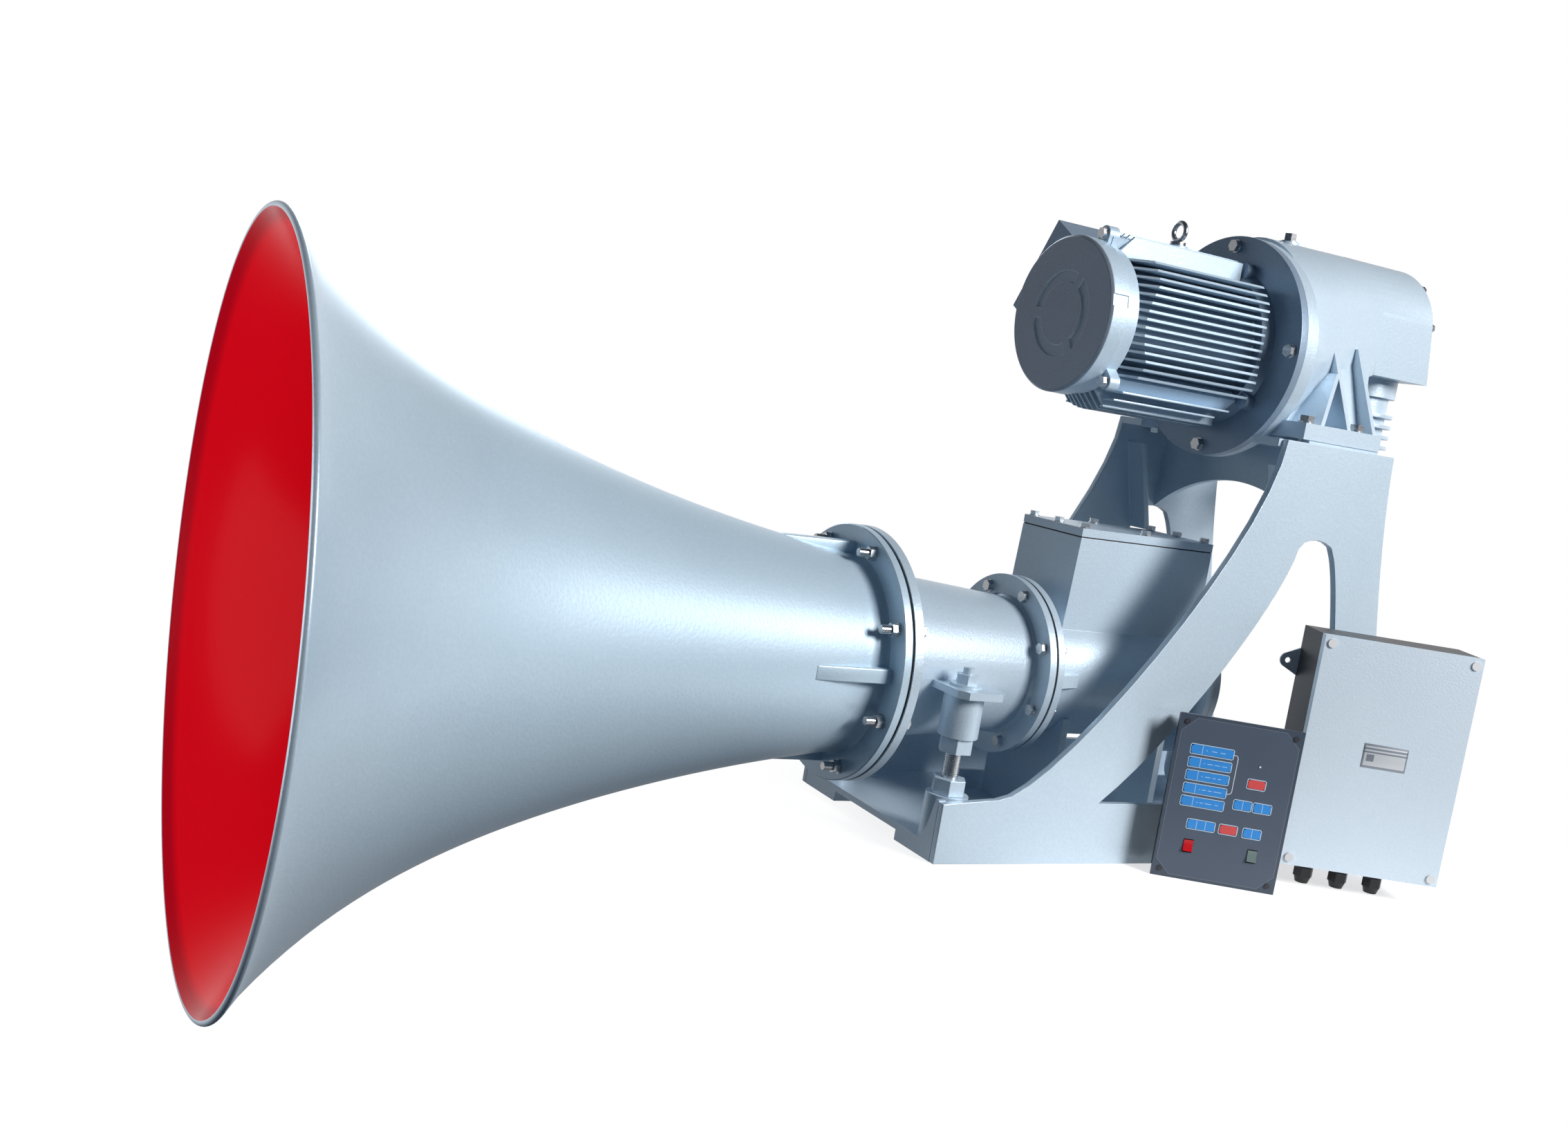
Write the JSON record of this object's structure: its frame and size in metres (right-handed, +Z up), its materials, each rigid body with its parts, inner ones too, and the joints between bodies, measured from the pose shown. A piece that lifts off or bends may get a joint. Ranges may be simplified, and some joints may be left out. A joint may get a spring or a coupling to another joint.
{
  "type": "electric horn",
  "caption": "Motor-driven electric horn: a flared bell on a side-plate frame, finned motor with gear case and air pump above, key panel and control cabinet alongside.",
  "frame": {"origin": "centre of the base's bolt pattern, on the underside of the foot strips", "axes": "-X out of the bell's mouth, +Z up, -Y towards the side with the control panel and the cabinet"},
  "size_m": [1.922, 1.0016, 1.268],
  "materials": {
    "silver_paint": "hammered silver enamel",
    "bell_paint": "silver enamel outside, red enamel inside",
    "motor_paint": "dark blue-grey enamel",
    "fin_paint": "silver enamel",
    "iron": "as cast",
    "steel": "bright zinc",
    "machined": "machined",
    "light_alloy": "machined",
    "gasket": "matte",
    "panel_plastic": "fine matte",
    "case_plastic": "matte",
    "blue_key": "satin",
    "red_key": "satin",
    "green_key": "gloss",
    "cabinet_paint": "blue-grey hammered enamel",
    "cable_plastic": "matte"
  },
  "bodies": {
    "frame": {"bell": "bell_paint", "bell_studs": "steel", "gaskets": "gasket", "throat_cone": "silver_paint", "throat_bolts": "steel", "sound_box": "silver_paint", "box_lid": "silver_paint", "box_bolts": "steel", "sounder_cylinder": "iron", "end_cover": "silver_paint", "jack_screws": "steel", "jack_nuts": "machined", "jack_sleeves": "silver_paint", "jack_bolts": "steel", "near_cheek": "silver_paint", "far_cheek": "silver_paint", "base_tray": "silver_paint", "deck": "silver_paint", "gear_case": "silver_paint", "case_cover": "silver_paint", "case_bolts": "steel", "oil_plug": "steel", "motor_flange": "motor_paint", "motor_bolts": "steel", "motor_housing": "fin_paint", "end_cap": "motor_paint", "stator_core": "iron", "bearings": "steel", "terminal_box": "motor_paint", "terminal_lid": "motor_paint", "lifting_eye": "steel", "pump_cylinder": "silver_paint", "pump_head": "silver_paint", "air_pipe": "silver_paint", "panel_case": "case_plastic", "panel_face": "panel_plastic", "cabinet_box": "cabinet_paint", "cabinet_lid": "cabinet_paint", "cable_glands": "cable_plastic", "cover_screws": "steel"},
    "rotor_unit": {"rotor": "machined"},
    "crank_unit": {"crankshaft": "machined", "crank_gear": "machined"},
    "rod": {"connecting_rod": "light_alloy"},
    "pump_piston_body": {"pump_piston": "light_alloy"},
    "sounder_piston_body": {"sounder_piston": "light_alloy"},
    "program_key_1_body": {"program_key_1": "blue_key"},
    "program_key_2_body": {"program_key_2": "blue_key"},
    "program_key_3_body": {"program_key_3": "blue_key"},
    "program_key_4_body": {"program_key_4": "blue_key"},
    "program_key_5_body": {"program_key_5": "blue_key"},
    "manual_key_body": {"manual_key": "red_key"},
    "lamp_key_1_body": {"lamp_key_1": "blue_key"},
    "lamp_key_2_body": {"lamp_key_2": "blue_key"},
    "mode_key_body": {"mode_key": "blue_key"},
    "select_key_body": {"select_key": "red_key"},
    "test_key_body": {"test_key": "blue_key"},
    "heating_rocker_body": {"heating_rocker": "red_key"},
    "power_rocker_body": {"power_rocker": "green_key"}
  },
  "joints": [
    {"name": "motor_spin", "type": "hinge", "parent": "frame", "child": "rotor_unit", "pos_m": [0, 0, 0.825], "axis": [1, 0, 0], "continuous": true},
    {"name": "crank_spin", "type": "hinge", "parent": "frame", "child": "crank_unit", "pos_m": [0, 0, 0.915], "axis": [1, 0, 0], "continuous": true},
    {"name": "rod_swing", "type": "hinge", "parent": "crank_unit", "child": "rod", "pos_m": [0.422, 0, 0.895], "axis": [1, 0, 0], "continuous": true},
    {"name": "pump_stroke", "type": "slide", "parent": "frame", "child": "pump_piston_body", "axis": [0, 0, 1], "range_m": [0, 0.04]},
    {"name": "sounder_stroke", "type": "slide", "parent": "frame", "child": "sounder_piston_body", "axis": [1, 0, 0], "range_m": [-0.004, 0.004]},
    {"name": "program_key_1_press", "type": "slide", "parent": "frame", "child": "program_key_1_body", "axis": [0.509, 0.8607, 0], "range_m": [0, 0.0008], "stiffness_N_per_m": 400, "springref_m": -0.001},
    {"name": "program_key_2_press", "type": "slide", "parent": "frame", "child": "program_key_2_body", "axis": [0.509, 0.8607, 0], "range_m": [0, 0.0008], "stiffness_N_per_m": 400, "springref_m": -0.001},
    {"name": "program_key_3_press", "type": "slide", "parent": "frame", "child": "program_key_3_body", "axis": [0.509, 0.8607, 0], "range_m": [0, 0.0008], "stiffness_N_per_m": 400, "springref_m": -0.001},
    {"name": "program_key_4_press", "type": "slide", "parent": "frame", "child": "program_key_4_body", "axis": [0.509, 0.8607, 0], "range_m": [0, 0.0008], "stiffness_N_per_m": 400, "springref_m": -0.001},
    {"name": "program_key_5_press", "type": "slide", "parent": "frame", "child": "program_key_5_body", "axis": [0.509, 0.8607, 0], "range_m": [0, 0.0008], "stiffness_N_per_m": 400, "springref_m": -0.001},
    {"name": "manual_key_press", "type": "slide", "parent": "frame", "child": "manual_key_body", "axis": [0.509, 0.8607, 0], "range_m": [0, 0.0008], "stiffness_N_per_m": 400, "springref_m": -0.001},
    {"name": "lamp_key_1_press", "type": "slide", "parent": "frame", "child": "lamp_key_1_body", "axis": [0.509, 0.8607, 0], "range_m": [0, 0.0008], "stiffness_N_per_m": 400, "springref_m": -0.001},
    {"name": "lamp_key_2_press", "type": "slide", "parent": "frame", "child": "lamp_key_2_body", "axis": [0.509, 0.8607, 0], "range_m": [0, 0.0008], "stiffness_N_per_m": 400, "springref_m": -0.001},
    {"name": "mode_key_press", "type": "slide", "parent": "frame", "child": "mode_key_body", "axis": [0.509, 0.8607, 0], "range_m": [0, 0.0008], "stiffness_N_per_m": 400, "springref_m": -0.001},
    {"name": "select_key_press", "type": "slide", "parent": "frame", "child": "select_key_body", "axis": [0.509, 0.8607, 0], "range_m": [0, 0.0008], "stiffness_N_per_m": 400, "springref_m": -0.001},
    {"name": "test_key_press", "type": "slide", "parent": "frame", "child": "test_key_body", "axis": [0.509, 0.8607, 0], "range_m": [0, 0.0008], "stiffness_N_per_m": 400, "springref_m": -0.001},
    {"name": "heating_rocker_tilt", "type": "hinge", "parent": "frame", "child": "heating_rocker_body", "pos_m": [-0.03952, -0.26987, 0.0535], "axis": [0.8607, -0.509, 0], "range_deg": [0, 16]},
    {"name": "power_rocker_tilt", "type": "hinge", "parent": "frame", "child": "power_rocker_body", "pos_m": [0.04458, -0.3196, 0.0535], "axis": [0.8607, -0.509, 0], "range_deg": [0, 16]}
  ],
  "couplings": [
    {"joint": "crank_spin", "follows": "motor_spin", "ratio": -0.5},
    {"joint": "rod_swing", "follows": "motor_spin", "ratio": 0.5}
  ]
}
